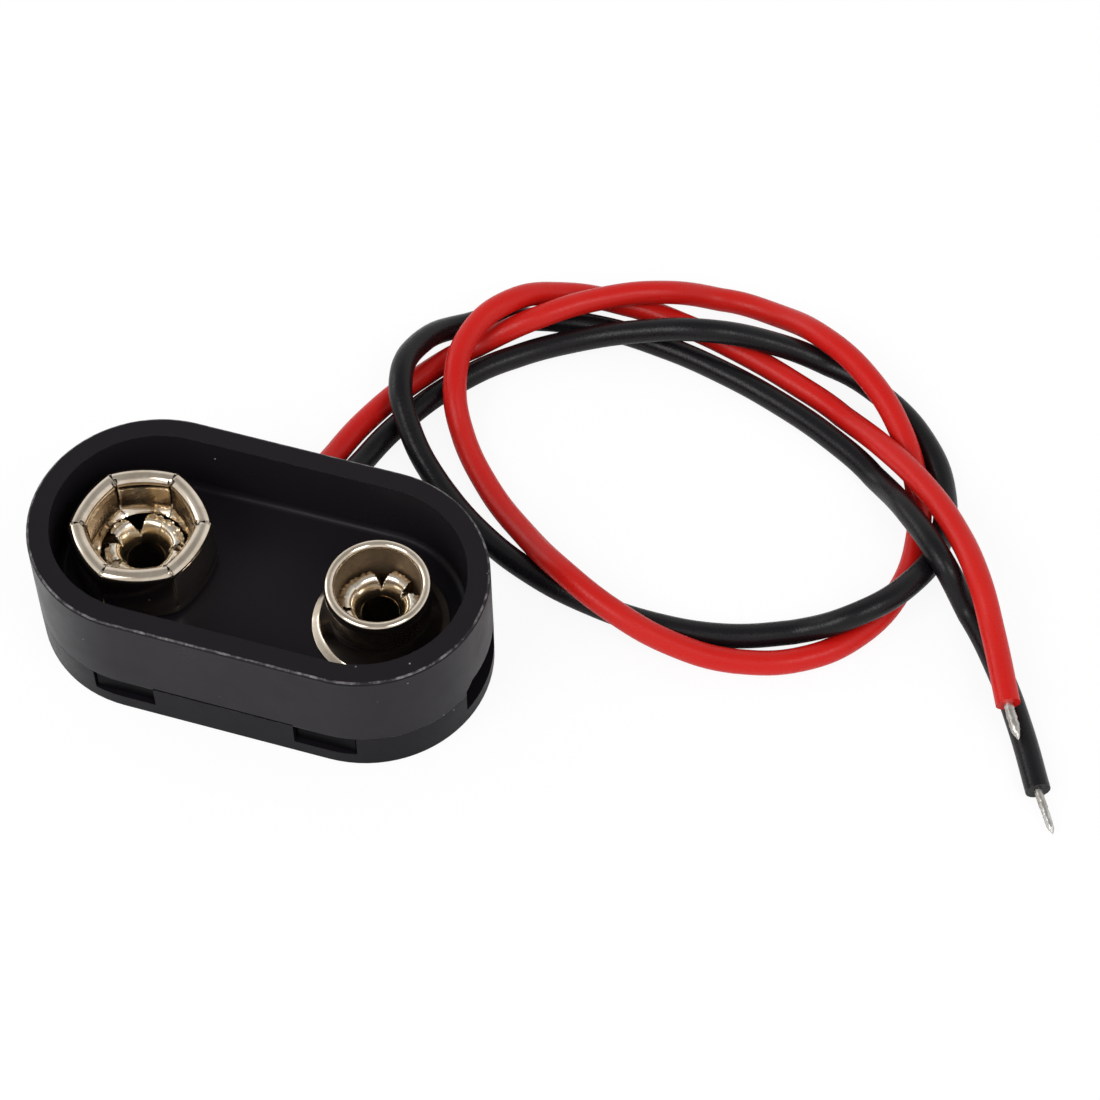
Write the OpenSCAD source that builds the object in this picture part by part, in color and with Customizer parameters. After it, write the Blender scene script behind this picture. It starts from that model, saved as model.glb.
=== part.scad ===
// Battery snap connector: a black two-piece housing with a hexagonal snap socket,
// a round snap stud and two insulated leads.
// The origin is under the middle of the housing, on the surface it lies on:
// +X points at the stud, +Y at the leads, +Z up through the terminals.

/* [Housing] */
// Length of the housing over its round ends
housing_l = 24.1; // [22:0.1:28]
// Width of the housing
housing_w = 13; // [11.5:0.1:16]
// Height of the whole connector
housing_h = 7.8; // [7:0.1:9]
// Thickness of the rim wall around the cup
rim_wall = 1.2; // [0.8:0.05:1.5]
// Thickness of the cup's floor
floor_t = 1; // [0.8:0.05:1.4]
// Radius round the cup's floor
floor_edge_r = 0.4; // [0.1:0.05:0.6]
// Radius of the rim's rounded top edges
rim_edge_r = 0.2; // [0.05:0.05:0.4]
// How far the outer wall leans in from the seam up to the rim
draft = 0.06; // [0:0.01:0.1]
// Height of the seam between the housing and the base cover
seam_z = 2.5; // [2.4:0.05:3]
// Height of the skirt that hangs from the cup's floor to the seam
skirt_h = 0.15; // [0.1:0.05:0.4]
// Width of the shadow gap along the seam
seam_gap = 0.15; // [0.05:0.05:0.3]
// Depth of the shadow gap
shadow_depth = 0.35; // [0.2:0.05:0.6]

/* [Base cover] */
// Thickness of the base cover's plate
plate_t = 1; // [0.7:0.05:1.2]
// Thickness of the base cover's wall
cover_wall = 1.2; // [0.9:0.05:1.5]
// Radius round the inside of the plate
plate_edge_r = 0.3; // [0.1:0.05:0.5]
// Radius round the outside of the plate
plate_corner_r = 0.15; // [0.05:0.05:0.3]
// Width of each latch window in the long sides
window_w = 3.3; // [2:0.05:4]
// Distance from the end of the housing to the middle of each latch window
window_x = 6.65; // [6:0.05:7]
// Width of the notch in each round end
end_notch_w = 4.6; // [3:0.1:6]
// How far the end notch rises into the housing above the seam
end_notch_rise = 0.85; // [0.3:0.05:1]
// Size of the chamfered corners at the top of the end notch
end_chamfer = 0.5; // [0.1:0.05:0.6]
// Clearance around the latch hooks
latch_gap = 0.1; // [0.05:0.05:0.3]
// Thickness of the latch hooks
latch_t = 0.75; // [0.5:0.05:1]
// How far the latch hooks stand back from the outer face
latch_setback = 0.3; // [0.1:0.05:0.4]

/* [Terminals] */
// Gap between each terminal and the cup's end wall; it sets the terminals 12.7 apart
terminal_gap = 0.78; // [0.3:0.01:1.2]
// Thickness of the terminals' sheet metal
sheet_t = 0.3; // [0.2:0.05:0.4]
// Radius of the hole for the eyelet in each terminal and in the floor
eyelet_hole_r = 1.42; // [1.3:0.02:1.6]

/* [Snap socket] */
// Radius of the socket's hexagon at its corners
socket_r = 3.72; // [3.4:0.02:4]
// How far the hexagon's sides bulge outwards
socket_bulge = 0.3; // [0.1:0.05:0.6]
// Height of the socket above the cup's floor
socket_h = 3.74; // [3.2:0.02:4]
// Width of the rolled bead on top of each petal
socket_bead_w = 0.7; // [0.5:0.05:0.9]
// Width of the slits between the petals
socket_slit_w = 0.12; // [0.08:0.02:0.3]
// Depth of the slits
socket_slit_h = 2.9; // [2:0.1:3]
// How far the petals' lower lips stand in from the beads and close the mouth
socket_lip_in = 0.27; // [0.15:0.01:0.4]
// Height of the petals' lower lips above the cup's floor
socket_lip_z = 0.85; // [0.75:0.05:1.2]
// Turn of the hexagon, measured to one of its corners
socket_turn = 17.1; // [0:0.1:60]

/* [Snap stud] */
// Radius of the stud's bead
stud_r = 2.72; // [2.65:0.01:2.8]
// Height of the stud above the cup's floor
stud_h = 3.7; // [3:0.05:4]
// Height of the stud's bead
stud_bead_h = 0.9; // [0.6:0.05:1.2]
// Height of the straight land round the bead
stud_land_h = 0.4; // [0.2:0.05:0.5]
// Radius of the stud's neck below the bead
stud_neck_r = 2.42; // [2.3:0.01:2.5]
// Radius of the stud's base flange
stud_flange_r = 3.54; // [3.2:0.02:3.8]
// Radius of the stud's mouth
stud_mouth_r = 2.32; // [2.2:0.01:2.4]
// Radius of the stud's hollow at its bottom
stud_bottom_r = 2.05; // [2:0.01:2.15]

/* [Eyelets] */
// Radius of the bore through each eyelet
eyelet_bore_r = 1.12; // [1:0.02:1.2]
// Thickness of the eyelets' sheet metal
eyelet_t = 0.25; // [0.2:0.01:0.27]
// Radius of the eyelets' lower flange
eyelet_flange_r = 2.2; // [1.8:0.05:2.5]
// Roll radius of the socket eyelet's petals
socket_roll_r = 0.4; // [0.3:0.02:0.42]
// Roll radius of the stud eyelet's petals
stud_roll_r = 0.3; // [0.24:0.02:0.32]
// Height of the petals' crest above the cup's floor
petal_h = 1.25; // [1.1:0.05:1.4]
// Height above the cup's floor at which the splits between the petals start
split_z = 0.45; // [0.35:0.05:0.6]

/* [Solder tags] */
// Thickness of the solder tags
tag_t = 0.3; // [0.2:0.05:0.35]
// Radius of the ring of each solder tag
tag_r = 2.5; // [2.3:0.05:2.8]
// Width of the tail of each solder tag
tag_tail_w = 1.8; // [1.2:0.1:2.2]
// Length of each tail beyond the eyelet's flange
tag_tail_l = 1.8; // [1.4:0.1:2]
// Gap between the solder on the tail and the eyelet's flange
solder_gap = 0.15; // [0.05:0.05:0.3]

/* [Leads] */
// Outer diameter of the insulated leads
lead_d = 1.3; // [1:0.05:1.35]
// Diameter of the red lead's bare end
red_core_d = 0.57; // [0.3:0.01:0.7]
// Diameter of the black lead's bare end
black_core_d = 0.42; // [0.3:0.01:0.7]
// Clearance of the leads in their slots
lead_slot_gap = 0.05; // [0.05:0.05:0.2]
// Distance between the middles of the two leads' slots
lead_pitch = 1.6; // [1.5:0.1:2]
// Height of the leads where they pass the base cover's wall
lead_z = 1.8; // [1.7:0.1:1.8]
// Length of insulation inside the base cover
lead_inside = 1.6; // [1:0.1:2]

/* [Hidden] */
$fn = 64;
eps = 0.01;

end_r = housing_w/2;
end_x = housing_l/2 - end_r;
cup_r = end_r - rim_wall;
floor_under_z = seam_z + skirt_h;
cup_z = floor_under_z + floor_t;
stud_x = housing_l/2 - rim_wall - terminal_gap - socket_r;
socket_x = -stud_x;
latch_x = housing_l/2 - window_x;
tag_z = floor_under_z - tag_t;
eyelet_base_z = tag_z - eyelet_t;
lead_r = lead_d/2;
red_slot_x = -lead_pitch/2;
black_slot_x = lead_pitch/2;

// How far the petals' feet reach into the ring below them
petal_foot = 0.2;

// The petals' inner leaves bow in below the bead and stand nearly upright above the lip
leaf_drop = 0.6;
leaf_bow = 0.03;
leaf_taper = 0.05;
lip_h = 0.7;
lip_bow = 0.08;

// Radii of the stud's edges, of its flare above the flange, of its throat and how far that
// lies below the bead, of its mouth and of its hollow's foot, and where the hollow's wall starts
stud_edge_r = 0.08;
stud_flare_r = 0.5;
stud_throat_r = 0.28;
stud_throat_drop = 0.2;
stud_lip_r = 0.12;
stud_foot_r = 0.35;
stud_wall_z = 0.75;

// Where the splits between the eyelets' petals come to a point
split_root_r = 0.8;

// Turn of each tag's tail towards its lead, and where on the tail the solder sits
socket_tail_turn = 8;
stud_tail_turn = 172;
solder_r = tag_tail_l/2 - solder_gap;
solder_along = eyelet_flange_r + tag_tail_l/2;

// Height at which the solder's dome starts, and how far its wetted foot spreads beyond it
solder_foot = 0.12;
solder_wet = 0.1;

// How far the bare cores bend away from the joints, and how the tinned ends leave the leads
core_straight = 0.5;
red_core_bend = [0.9, 0.7, 0];
black_core_bend = [-0.9, 0.7, 0];
red_bare_reach = [0.92, -1.68, -0.3];
black_bare_reach = [1.2, -2, -0.3];
bare_straight = 0.3;
bare_taper = 0.85;

// Roll the profile round both ends and draw it along the straight sides
module stadium(profile) {
    for (s = [-1, 1]) translate([s*end_x, 0, 0]) rotate_extrude($fn = 96) polygon(profile);
    for (s = [0, 1]) mirror([0, s, 0])
        translate([-end_x, 0, 0]) rotate([90, 0, 90]) linear_extrude(2*end_x) polygon(profile);
}

// Points of an arc in a profile
function arc(c, r, a0, a1, n = 5) =
    [for (i = [0:n]) let (a = a0 + (a1 - a0)*i/n) c + r*[cos(a), sin(a)]];

// Profile from the middle out to radius r between two heights, rounded at its edges,
// whose side leans in by the given amount on its way up
function disc_profile(r, z0, z1, low_r, high_r, lean = 0) = concat(
    [[0, z0]],
    arc([r - low_r, z0 + low_r], low_r, -90, 0),
    arc([r - lean - high_r, z1 - high_r], high_r, 0, 90),
    [[0, z1]]);

// Notch in one round end, with the chamfered corners of a moulded slot
module end_notch(z0, z1, chamfer) {
    w = end_notch_w/2;
    rotate([90, 0, 90]) linear_extrude(housing_l)
        polygon([[-w, z0], [w, z0], [w, z1 - chamfer], [w - chamfer, z1],
            [chamfer - w, z1], [-w, z1 - chamfer]]);
}

// Repeat what is drawn on both long sides
module both_sides() {
    for (s = [0, 1]) mirror([0, s, 0]) children();
}

// Repeat what is drawn at both round ends
module both_ends() {
    for (s = [0, 1]) mirror([s, 0, 0]) children();
}

// Hook that hangs from the floor into one latch window
module latch_hook() {
    w = window_w - 2*latch_gap;
    y = end_r - latch_setback;
    translate([-w/2, y - latch_t, plate_t]) cube([w, latch_t, floor_under_z - plate_t + eps]);
}

module housing() {
    shadow_l = 2*latch_x - window_w;
    color("#262425") difference() {
        union() {
            difference() {
                stadium(disc_profile(end_r, seam_z, housing_h, eps, rim_edge_r, draft));
                stadium(disc_profile(cup_r, cup_z, housing_h + 1, floor_edge_r, eps));
                stadium(disc_profile(cup_r, seam_z - 1, floor_under_z, eps, eps));
                // The lower edge stands back between the windows and leaves a thin shadow
                both_sides() translate([-shadow_l/2, end_r - shadow_depth, seam_z - eps])
                    cube([shadow_l, shadow_depth + 1, seam_gap]);
                both_ends() translate([housing_l/2 - rim_wall, 0, 0])
                    end_notch(seam_z - 1, seam_z + end_notch_rise, end_chamfer);
            }
            both_sides() both_ends() translate([latch_x, 0, 0]) latch_hook();
        }
        both_ends() translate([stud_x, 0, floor_under_z - 1])
            cylinder(r = eyelet_hole_r, h = floor_t + 2);
    }
}

// Slot in the rear wall that one lead is laid in from above
module lead_slot() {
    r = lead_r + lead_slot_gap;
    translate([0, housing_w, lead_z]) rotate([90, 0, 0]) cylinder(r = r, h = housing_w, $fn = 48);
    translate([-r, 0, lead_z]) cube([2*r, housing_w, seam_z]);
}

module base_cover() {
    color("#1f1d1e") difference() {
        stadium(disc_profile(end_r, 0, seam_z, plate_corner_r, eps));
        stadium(disc_profile(end_r - cover_wall, plate_t, seam_z + 1, plate_edge_r, eps));
        both_sides() both_ends() translate([latch_x - window_w/2, end_r - cover_wall - 1, plate_t])
            cube([window_w, cover_wall + 2, seam_z]);
        both_ends() translate([end_x, 0, 0]) end_notch(plate_t + latch_gap, seam_z + 1, eps);
        for (x = [red_slot_x, black_slot_x]) translate([x, 0, 0]) lead_slot();
    }
}

// Where the sides of the bulged hexagon have their centres, and their radius
socket_side_r = (pow(socket_r/2, 2) + pow(socket_bulge, 2))/(2*socket_bulge);
socket_side_c = socket_r*cos(30) + socket_bulge - socket_side_r;

// Outline of the bulged hexagon, drawn in from its outside by the given amount
module hexagon(inset) {
    intersection_for(i = [0:5]) rotate(30 + 60*i) translate([socket_side_c, 0])
        circle(r = socket_side_r - inset, $fn = 128);
}

// One petal: outer wall, rolled bead and the inner leaf that turns in to the lip
module petal() {
    bead_r = socket_bead_w/2;
    bead_z = socket_h - bead_r;
    leaf_r = socket_side_r - socket_bead_w;
    lip_r = leaf_r - socket_lip_in;
    leaf_t = 0.8*sheet_t;
    foot_z = socket_h - socket_slit_h - petal_foot;
    reach = socket_r + 1;
    intersection() {
        translate([socket_side_c, 0, 0]) rotate_extrude($fn = 128) polygon(concat(
            [[socket_side_r, foot_z]],
            arc([socket_side_r - bead_r, bead_z], bead_r, 0, 180, 12),
            [[leaf_r - leaf_bow, bead_z - leaf_drop], [lip_r + lip_bow, socket_lip_z + lip_h],
             [lip_r, socket_lip_z], [lip_r + leaf_t, socket_lip_z],
             [leaf_r + leaf_t - leaf_taper, bead_z - leaf_drop - leaf_t/2],
             [leaf_r + leaf_t, bead_z], [socket_side_r - sheet_t, bead_z],
             [socket_side_r - sheet_t, foot_z]]));
        linear_extrude(socket_h + 1) polygon([[socket_slit_w, 0],
            [reach, (socket_slit_w - reach)*tan(30)], [reach, (reach - socket_slit_w)*tan(30)]]);
    }
}

module socket_snap() {
    color("#b9ad9c") translate([socket_x, 0, cup_z]) rotate(socket_turn) {
        for (i = [0:5]) rotate(30 + 60*i) petal();
        // The ring below the slits stands back by a hair, so that the petals' feet bite into it
        linear_extrude(socket_h - socket_slit_h) difference() {
            hexagon(eps);
            hexagon(sheet_t + eps);
        }
        linear_extrude(sheet_t) difference() {
            hexagon(eps);
            circle(r = eyelet_hole_r);
        }
    }
}

module stud_snap() {
    bead_r = (stud_bead_h - stud_land_h)/2;
    land_z = stud_h - stud_bead_h/2 - stud_land_h/2;
    edge = stud_edge_r;
    throat = [stud_neck_r + stud_throat_r, stud_h - stud_bead_h - stud_throat_drop];
    color("#b9ad9c") translate([stud_x, 0, cup_z]) rotate_extrude($fn = 96) polygon(concat(
        [[eyelet_hole_r, 0], [stud_flange_r - edge, 0], [stud_flange_r, edge],
         [stud_flange_r, sheet_t - edge], [stud_flange_r - edge, sheet_t]],
        arc([stud_neck_r + stud_flare_r, sheet_t + stud_flare_r], stud_flare_r, 270, 180, 6),
        arc(throat, stud_throat_r, 180, 130, 3),
        arc([stud_r - bead_r, land_z], bead_r, -60, 0, 3),
        arc([stud_r - bead_r, land_z + stud_land_h], bead_r, 0, 85, 4),
        arc([stud_mouth_r + stud_lip_r, stud_h - stud_lip_r], stud_lip_r, 90, 190, 4),
        // Funnel inside
        [[stud_bottom_r, stud_wall_z]],
        arc([stud_bottom_r - stud_foot_r, sheet_t + stud_foot_r], stud_foot_r, 0, -90, 4),
        [[eyelet_hole_r, sheet_t]]));
}

// Tube with a lower flange whose upper end is split and rolled outwards; each split is
// given by its angle and by how wide it opens
module eyelet(roll_r, splits) {
    mid_r = eyelet_bore_r + eyelet_t/2;
    roll_c = [mid_r + roll_r, cup_z + petal_h - roll_r - eyelet_t/2];
    reach = socket_r;
    difference() {
        rotate_extrude($fn = 64) polygon(concat(
            [[eyelet_bore_r, eyelet_base_z], [eyelet_flange_r, eyelet_base_z], [eyelet_flange_r, tag_z],
             [eyelet_bore_r + eyelet_t, tag_z]],
            arc(roll_c, roll_r - eyelet_t/2, 180, 10, 8),
            arc(roll_c, roll_r + eyelet_t/2, 10, 180, 10)));
        for (split = splits) rotate(split[0]) translate([0, 0, cup_z + split_z])
            linear_extrude(petal_h) polygon([[split_root_r, 0], reach*[1, -tan(split[1]/2)],
                reach*[1, tan(split[1]/2)]]);
    }
}

module socket_eyelet() {
    color("#c4b493") translate([socket_x, 0, 0])
        eyelet(socket_roll_r, [[12, 30], [74, 14], [127, 48], [180, 32], [234, 24], [300, 34]]);
}

module stud_eyelet() {
    color("#c4b493") translate([stud_x, 0, 0])
        eyelet(stud_roll_r, [[48, 30], [105, 40], [155, 14], [210, 30], [270, 30], [340, 34]]);
}

// Ring under the floor with a tail for the lead
module tag(turn) {
    end = eyelet_flange_r + tag_tail_l - tag_tail_w/2;
    translate([0, 0, tag_z]) rotate(turn) difference() {
        union() {
            cylinder(r = tag_r, h = tag_t);
            translate([0, -tag_tail_w/2, 0]) cube([end, tag_tail_w, tag_t]);
            translate([end, 0, 0]) cylinder(d = tag_tail_w, h = tag_t, $fn = 32);
        }
        translate([0, 0, -1]) cylinder(r = eyelet_hole_r, h = tag_t + 2);
    }
}

module socket_tag() {
    color("#c9b36a") translate([socket_x, 0, 0]) tag(socket_tail_turn);
}

module stud_tag() {
    color("#c9b36a") translate([stud_x, 0, 0]) tag(stud_tail_turn);
}

function unit(v) = v/norm(v);
function heading(path, i) = unit(path[min(i + 1, len(path) - 1)] - path[max(i - 1, 0)]);

// Section of a tube or of a tapered end at one point of a route
function ring(p, t, r, sides) =
    let (across = unit(cross([0, 0, 1], t)), rise = cross(t, across))
    [for (k = [0:sides - 1]) let (a = 360*(k + 0.5)/sides) p + r*(cos(a)*across + sin(a)*rise)];

// Sweep a round section with the given radii along the points of a route
module tube(path, radii, sides) {
    rings = len(path);
    points = [for (i = [0:rings - 1]) each ring(path[i], heading(path, i), radii[i], sides)];
    faces = concat(
        [[for (k = [0:sides - 1]) k]],
        [for (i = [0:rings - 2], k = [0:sides - 1]) let (a = i*sides + k, b = i*sides + (k + 1)%sides)
            [a, a + sides, b]],
        [for (i = [0:rings - 2], k = [0:sides - 1]) let (a = i*sides + k, b = i*sides + (k + 1)%sides)
            [b, a + sides, b + sides]],
        [[for (k = [sides - 1:-1:0]) (rings - 1)*sides + k]]);
    polyhedron(points, faces);
}

function even(path, r) = [for (p = path) r];

// Where the insulation of each lead starts inside the housing, how far it runs straight
// out of the wall and where it ends outside
lead_clear = 0.3;
lead_start_y = end_r - cover_wall - lead_inside;
lead_exit_y = end_r + lead_clear;
red_start = [red_slot_x, lead_start_y, lead_z];
black_start = [black_slot_x, lead_start_y, lead_z];
red_end = [38, 5.4, 1.9];
black_end = [40.5, 1.6, 0.7];

// Both leads run out of their slots, round two turns of a loose coil and away to the right
red_route = [red_start, [red_slot_x, lead_exit_y, lead_z], [-0.5, 8.8, 1.2], [0, 11.3, 0.65],
    [1, 14.3, 0.65], [2.6, 17.3, 0.65], [5.1, 20, 0.7], [8, 22.2, 2], [11.1, 24.1, 2.2],
    [14.1, 25.9, 2], [17.2, 27, 0.7], [20.4, 26.8, 0.9], [23.4, 25.2, 2.1], [26.3, 23.2, 2.2],
    [28.7, 20.9, 1.6], [30.4, 18.1, 0.7], [31.2, 14.7, 0.7], [31.1, 11.2, 0.7], [29.7, 8, 0.7],
    [27.2, 5.7, 0.7], [23.9, 4.6, 0.65], [20.4, 4.4, 1.2], [17, 5.1, 2], [14.1, 6.6, 2.3],
    [11.4, 8.7, 1.1], [8.8, 11.2, 0.65], [6.4, 13.8, 0.65], [4.9, 16.6, 1.9], [4.8, 19.7, 2.4],
    [6.3, 22.6, 2.5], [8.9, 24.6, 1.3], [12.2, 25.3, 0.7], [15.7, 24.8, 0.7], [19.1, 23.9, 0.7],
    [22.5, 22.8, 0.7], [25.6, 21.2, 0.65], [28.5, 19.1, 1.8], [31, 16.7, 2.6], [33.2, 14.3, 3],
    [34.9, 11.7, 3.1], [36.4, 9, 2.3], red_end];
black_route = [black_start, [black_slot_x, lead_exit_y, lead_z], [1, 8.8, 1.2], [1.6, 11.4, 0.65],
    [2.8, 14.5, 0.65], [4.7, 17.6, 0.65], [7.3, 20.1, 0.65], [10.3, 21.8, 1.1], [13.7, 22.7, 2],
    [17.2, 23.4, 2.7], [20.6, 24.2, 1.8], [24, 24.4, 0.7], [27.3, 23.3, 0.65], [30.1, 21.1, 0.65],
    [32, 18, 0.65], [32.5, 14.4, 1.1], [31.6, 11, 2.1], [29.4, 8.5, 2.2], [26.4, 6.9, 0.8],
    [22.9, 6, 0.65], [19.3, 5.7, 0.65], [15.7, 5.9, 0.7], [12.2, 6.9, 0.7], [9, 8.5, 0.7],
    [6.1, 10.6, 0.7], [3.7, 13, 1.7], [2.2, 15.6, 2.6], [2.2, 18.6, 2], [4.1, 21.3, 0.7],
    [7.5, 23, 0.7], [11.3, 23.4, 0.65], [14.9, 23.1, 0.65], [18.5, 22.3, 0.7], [22, 21.2, 0.65],
    [25.3, 19.8, 0.7], [28.3, 17.7, 0.7], [30.6, 15, 2.4], [32.7, 12.5, 2.7], [35, 10.6, 0.8],
    [37.2, 8.1, 0.65], [38.9, 4.9, 0.65], black_end];

module red_lead() {
    color("#c9211c") tube(red_route, even(red_route, lead_r), 8);
}

module black_lead() {
    color("#1b1a1c") tube(black_route, even(black_route, lead_r), 8);
}

// Places where the bare cores bend and then lie under the tags' tails
function tail_point(x, turn, drop) =
    [x + solder_along*cos(turn), solder_along*sin(turn), tag_z - drop];
red_joint = tail_point(socket_x, socket_tail_turn, red_core_d/2);
black_joint = tail_point(stud_x, stud_tail_turn, black_core_d/2);

// Bare core from the end of the insulation to its joint
module core(start, bend, joint, r) {
    route = [start, start - [0, core_straight, 0], bend + joint, joint];
    color("#c8a15c") tube(route, even(route, r), 8);
}

module red_core() {
    core(red_start, red_core_bend, red_joint, red_core_d/2);
}

module black_core() {
    core(black_start, black_core_bend, black_joint, black_core_d/2);
}

// Low dome of solder that wets the tail round the end of the core
module solder(joint, bend, core_r) {
    dome_r = solder_r - solder_wet;
    translate([joint.x, joint.y, tag_z]) mirror([0, 0, 1]) rotate(atan2(bend.y, bend.x)) difference() {
        rotate_extrude($fn = 32)
            polygon(concat([[0, 0], [solder_r, 0]], arc([0, solder_foot], dome_r, 5, 90, 6)));
        translate([-eps, 0, core_r]) rotate([0, 90, 0])
            cylinder(r = core_r + eps, h = solder_r + 1, $fn = 24);
    }
}

module socket_solder() {
    color("#c9c9c6") solder(red_joint, red_core_bend, red_core_d/2);
}

module stud_solder() {
    color("#c9c9c6") solder(black_joint, black_core_bend, black_core_d/2);
}

// Tinned strands that leave the end of a lead squarely and thin out to their tip
module bare_end(lead, reach, r) {
    end = lead[len(lead) - 1];
    square_out = end + bare_straight*unit(end - lead[len(lead) - 2]);
    tube([end, square_out, end + reach], [r, r, bare_taper*r], 8);
}

module red_bare_end() {
    color("#cfcfcd") bare_end(red_route, red_bare_reach, red_core_d/2);
}

module black_bare_end() {
    color("#cfcfcd") bare_end(black_route, black_bare_reach, black_core_d/2);
}

housing();
base_cover();
socket_snap();
stud_snap();
socket_eyelet();
stud_eyelet();
socket_tag();
stud_tag();
socket_solder();
stud_solder();
red_lead();
black_lead();
red_core();
black_core();
red_bare_end();
black_bare_end();
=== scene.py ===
import math
import random
import bpy
from mathutils import Matrix, Vector


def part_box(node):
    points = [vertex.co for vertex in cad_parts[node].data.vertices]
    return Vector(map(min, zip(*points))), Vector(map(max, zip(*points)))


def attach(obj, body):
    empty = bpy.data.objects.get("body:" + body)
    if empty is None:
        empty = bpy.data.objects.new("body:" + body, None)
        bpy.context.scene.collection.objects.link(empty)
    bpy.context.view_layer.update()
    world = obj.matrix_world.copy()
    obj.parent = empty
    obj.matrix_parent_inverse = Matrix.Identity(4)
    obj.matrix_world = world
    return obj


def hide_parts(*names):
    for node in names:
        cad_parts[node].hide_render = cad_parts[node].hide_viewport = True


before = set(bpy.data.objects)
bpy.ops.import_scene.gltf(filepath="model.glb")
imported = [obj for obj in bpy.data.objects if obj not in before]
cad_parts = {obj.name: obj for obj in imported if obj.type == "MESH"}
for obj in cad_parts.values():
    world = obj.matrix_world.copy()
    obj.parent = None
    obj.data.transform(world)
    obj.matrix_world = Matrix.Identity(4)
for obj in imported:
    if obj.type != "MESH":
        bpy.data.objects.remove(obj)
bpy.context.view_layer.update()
scene = bpy.context.scene
random.seed(11)
mm = 0.001
up = Vector((0, 0, 1))


def linear(hexColour):  # sRGB hex to the linear colour that shaders take
    channels = [int(hexColour[i:i + 2], 16) / 255 for i in (1, 3, 5)]
    return [c / 12.92 if c <= 0.04045 else ((c + 0.055) / 1.055) ** 2.4 for c in channels] + [1]


def addNode(tree, kind, settings=None, links=None):  # settings name sockets first, then properties
    node = tree.nodes.new(kind)
    for name, value in (settings or {}).items():
        if isinstance(name, int) or name in node.inputs:
            node.inputs[name].default_value = value
        else:
            setattr(node, name, value)
    for name, source in (links or {}).items():
        tree.links.new(source, node.inputs[name])
    return node


def newMaterial(name):
    material = bpy.data.materials.new(name)
    material.use_nodes = True
    material.node_tree.nodes.clear()
    return material, material.node_tree


# Modelling helpers


def deselectAll():
    bpy.ops.object.select_all(action="DESELECT")


def activate(piece):
    deselectAll()
    piece.select_set(True)
    bpy.context.view_layer.objects.active = piece


def selectPoints(mesh, chosen):  # select the points of the mesh in edit mode for which chosen(place) holds
    bpy.ops.mesh.select_all(action="DESELECT")
    bpy.ops.object.mode_set(mode="OBJECT")
    for point in mesh.vertices:
        point.select = chosen(point.co)
    bpy.ops.object.mode_set(mode="EDIT")


def traceProfile(name, points):  # a primitive cut down to one corner, which is extruded from point to point
    deselectAll()
    bpy.ops.mesh.primitive_plane_add(size=mm, location=points[0] + Vector((mm / 2, mm / 2, 0)))
    piece = bpy.context.object
    bpy.ops.object.transform_apply(location=True, rotation=True, scale=True)
    piece.name = name
    bpy.ops.object.mode_set(mode="EDIT")
    bpy.ops.mesh.select_mode(type="VERT")
    selectPoints(piece.data, lambda place: (place - points[0]).length > 0.01 * mm)
    bpy.ops.mesh.delete(type="VERT")
    bpy.ops.mesh.select_all(action="SELECT")
    for here, there in zip(points, points[1:]):
        bpy.ops.mesh.extrude_region_move(TRANSFORM_OT_translate={"value": there - here})
    return piece


def spinPiece(steps, angle, centre, axis=up):  # what is traced becomes a turned form
    bpy.ops.mesh.select_all(action="SELECT")
    bpy.ops.mesh.spin(steps=steps, angle=-angle, center=centre, axis=axis)
    bpy.ops.mesh.select_all(action="SELECT")
    bpy.ops.mesh.remove_doubles(threshold=0.002 * mm)
    bpy.ops.mesh.normals_make_consistent(inside=False)


def cutAway(place, normal, fill=False):  # what lies on the normal's side of the plane goes
    bpy.ops.mesh.select_all(action="SELECT")
    bpy.ops.mesh.bisect(plane_co=place, plane_no=normal, clear_outer=True, use_fill=fill)


def applyModifier(piece, kind, **settings):
    modifier = piece.modifiers.new(kind.lower(), kind)
    for key, value in settings.items():
        setattr(modifier, key, value)
    activate(piece)
    bpy.ops.object.modifier_apply(modifier=modifier.name)


def smoothPiece(piece, degrees):
    activate(piece)
    bpy.ops.object.shade_smooth_by_angle(angle=math.radians(degrees))


def dress(piece, materials, node):
    piece.data.materials.clear()
    for material in materials:
        piece.data.materials.append(material)
    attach(piece, "root")
    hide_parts(node)


def around(middle, angle, reach, height):  # place at an angle in degrees round an upright axis
    turn = math.radians(angle)
    return Vector((middle.x + reach * math.cos(turn), middle.y + reach * math.sin(turn), height))


def arcPoints(centre, radii, fromAngle, toAngle, count):  # (reach, height) pairs along an arc
    turns = [math.radians(fromAngle + (toAngle - fromAngle) * i / count) for i in range(count + 1)]
    return [(centre[0] + radii[0] * math.cos(turn), centre[1] + radii[1] * math.sin(turn))
            for turn in turns]


def middleOf(node):
    low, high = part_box(node)
    return Vector(((low[0] + high[0]) / 2, (low[1] + high[1]) / 2, low[2]))


def copyTurned(piece, name, middle, angle):  # own mesh, turned round an upright axis
    twin = bpy.data.objects.new(name, piece.data.copy())
    scene.collection.objects.link(twin)
    turn = Matrix.Rotation(math.radians(angle), 4, "Z")
    twin.data.transform(Matrix.Translation(middle) @ turn @ Matrix.Translation(-middle))
    return twin


# Camera at the photograph's viewing angle
cameraView = {
    "azimuth": 16.852,  # degrees, 0 looks along +Y
    "elevation": 56.797,
    "roll": -0.271,
    "distance": 169.884 * mm,
    "target": Vector((13.238, 7.052, 3.0)) * mm,
    "lens": 107.03,  # mm on a sensor 36 mm wide
}


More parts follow.
